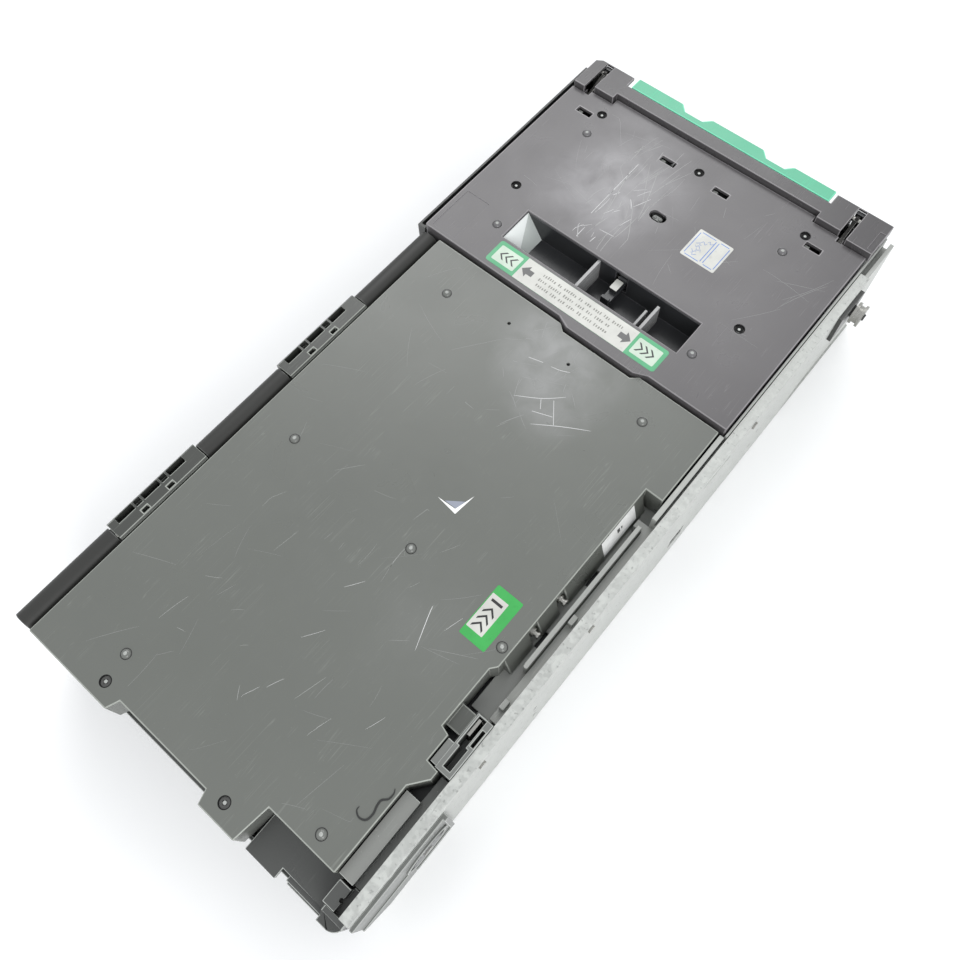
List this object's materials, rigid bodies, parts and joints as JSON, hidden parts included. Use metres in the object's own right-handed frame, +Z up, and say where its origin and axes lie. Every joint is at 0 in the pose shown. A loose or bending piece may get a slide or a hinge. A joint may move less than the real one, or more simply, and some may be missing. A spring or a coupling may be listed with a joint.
{
  "type": "bill validator",
  "caption": "Flat bill validator module with two hinged top doors over a roller-driven note path, a hand pocket with a release lever, a sprung side latch and a mint release bar.",
  "frame": {"origin": "middle of the flat underside of the base, between the two side walls and midway along the note path", "axes": "+Z up out of the deck, +Y along the note path towards the mint release bar, +X towards the plated side"},
  "size_m": [0.346, 0.6918, 0.14],
  "materials": {
    "lower_door_plastic": "fine satin moulded plastic with scratches",
    "upper_door_plastic": "fine satin moulded plastic with scuffs",
    "frame_plastic": "satin moulded plastic",
    "dark_plastic": "satin moulded plastic",
    "black_plastic": "matt moulded plastic",
    "mint_plastic": "satin moulded plastic",
    "white_plastic": "satin",
    "galvanised": "zinc coated sheet",
    "bright_steel": "bright plated",
    "black_steel": "black zinc",
    "bronze": "sintered",
    "belt_rubber": "matt",
    "roller_rubber": "matt ground",
    "motor_case": "satin",
    "pulley_aluminium": "machined",
    "board_green": "solder mask"
  },
  "bodies": {
    "chassis": {"bottom_cover": "galvanised", "left_side_frame": "dark_plastic", "left_bearing_plate": "galvanised", "right_side_frame": "frame_plastic", "right_side_plate": "galvanised", "corner_cover": "frame_plastic", "near_end_frame": "frame_plastic", "far_end_frame": "dark_plastic", "far_strip": "upper_door_plastic", "hinge_barrels": "dark_plastic", "lower_hinge_pin": "bright_steel", "latch_housing": "frame_plastic", "latch_pivot_pin": "bright_steel", "upper_hinge_pins": "bright_steel", "lower_path_plate": "black_plastic", "upper_path_plate": "black_plastic", "shaft_bushes": "bronze", "timing_belt": "belt_rubber", "motor_belt": "belt_rubber", "drive_motor": "motor_case", "control_board": "board_green", "board_parts": "black_plastic", "cross_bars": "galvanised", "image_sensor": "black_plastic", "upper_strikers": "bright_steel", "side_roller_bracket": "dark_plastic", "chassis_screws": "bright_steel", "latch_spring": "bright_steel"},
    "lower_door": {"lower_door": "lower_door_plastic", "lower_door_guide": "black_plastic", "lower_door_rivets": "lower_door_plastic", "lower_door_screws": "black_steel", "recess_studs": "bright_steel"},
    "upper_door": {"upper_door": "upper_door_plastic", "pocket_tray": "black_plastic", "upper_door_guide": "black_plastic", "upper_hinge_arms": "bright_steel", "upper_door_screws": "black_steel", "upper_door_rivets": "upper_door_plastic"},
    "release_latch": {"release_lever": "black_plastic", "latch_shaft": "bright_steel", "latch_hooks": "bright_steel"},
    "door_latch": {"door_latch": "bright_steel"},
    "release_bar": {"release_bar": "mint_plastic"},
    "side_roller": {"side_roller": "bright_steel"},
    "motor_rotor": {"motor_pulley": "pulley_aluminium"},
    "drive_1": {"drive_shaft_1": "bright_steel", "drive_rollers_1": "roller_rubber", "drive_pulley_1": "pulley_aluminium", "input_gear": "black_plastic"},
    "drive_2": {"drive_shaft_2": "bright_steel", "drive_rollers_2": "roller_rubber", "drive_pulley_2": "pulley_aluminium"},
    "drive_3": {"drive_shaft_3": "bright_steel", "drive_rollers_3": "roller_rubber", "drive_pulley_3": "pulley_aluminium"},
    "idler_1": {"idler_1": "white_plastic"},
    "idler_2": {"idler_2": "white_plastic"},
    "idler_3": {"idler_3": "white_plastic"}
  },
  "joints": [
    {"name": "lower_door_hinge", "type": "hinge", "parent": "chassis", "child": "lower_door", "pos_m": [-0.149, -0.124, 0.119], "axis": [0, -1, 0], "range_deg": [0, 95]},
    {"name": "upper_door_hinge", "type": "hinge", "parent": "chassis", "child": "upper_door", "pos_m": [0, 0.3345, 0.135], "axis": [-1, 0, 0], "range_deg": [0, 70]},
    {"name": "release_lever_turn", "type": "hinge", "parent": "upper_door", "child": "release_latch", "pos_m": [0, 0.1725, 0.116], "axis": [-1, 0, 0], "range_deg": [0, 18], "stiffness_Nm_per_rad": 0.4, "springref_deg": -8.59},
    {"name": "door_latch_turn", "type": "hinge", "parent": "chassis", "child": "door_latch", "pos_m": [0.1477, -0.1905, 0.1005], "axis": [0, 1, 0], "range_deg": [0, 4], "stiffness_Nm_per_rad": 0.1, "springref_deg": -5.73},
    {"name": "release_bar_turn", "type": "hinge", "parent": "chassis", "child": "release_bar", "pos_m": [0, 0.3344, 0.106], "axis": [-1, 0, 0], "range_deg": [0, 18], "stiffness_Nm_per_rad": 0.5, "springref_deg": -5.73},
    {"name": "side_roller_spin", "type": "hinge", "parent": "chassis", "child": "side_roller", "pos_m": [0.1745, 0.2725, 0.11], "axis": [1, 0, 0], "continuous": true},
    {"name": "drive_1_spin", "type": "hinge", "parent": "chassis", "child": "drive_1", "pos_m": [0, -0.2685, 0.078], "axis": [1, 0, 0], "continuous": true},
    {"name": "drive_2_spin", "type": "hinge", "parent": "chassis", "child": "drive_2", "pos_m": [0, -0.0445, 0.078], "axis": [1, 0, 0], "continuous": true},
    {"name": "drive_3_spin", "type": "hinge", "parent": "chassis", "child": "drive_3", "pos_m": [0, 0.2405, 0.078], "axis": [1, 0, 0], "continuous": true},
    {"name": "motor_spin", "type": "hinge", "parent": "chassis", "child": "motor_rotor", "pos_m": [-0.1495, -0.1945, 0.038], "axis": [1, 0, 0], "continuous": true},
    {"name": "idler_1_spin", "type": "hinge", "parent": "lower_door", "child": "idler_1", "pos_m": [-0.0035, -0.2685, 0.105], "axis": [1, 0, 0], "continuous": true},
    {"name": "idler_2_spin", "type": "hinge", "parent": "lower_door", "child": "idler_2", "pos_m": [-0.0035, -0.0445, 0.105], "axis": [1, 0, 0], "continuous": true},
    {"name": "idler_3_spin", "type": "hinge", "parent": "upper_door", "child": "idler_3", "pos_m": [-0.0035, 0.2405, 0.105], "axis": [1, 0, 0], "continuous": true}
  ],
  "couplings": [
    {"joint": "drive_2_spin", "follows": "drive_1_spin", "ratio": 1},
    {"joint": "drive_3_spin", "follows": "drive_1_spin", "ratio": 1},
    {"joint": "motor_spin", "follows": "drive_1_spin", "ratio": 1}
  ]
}
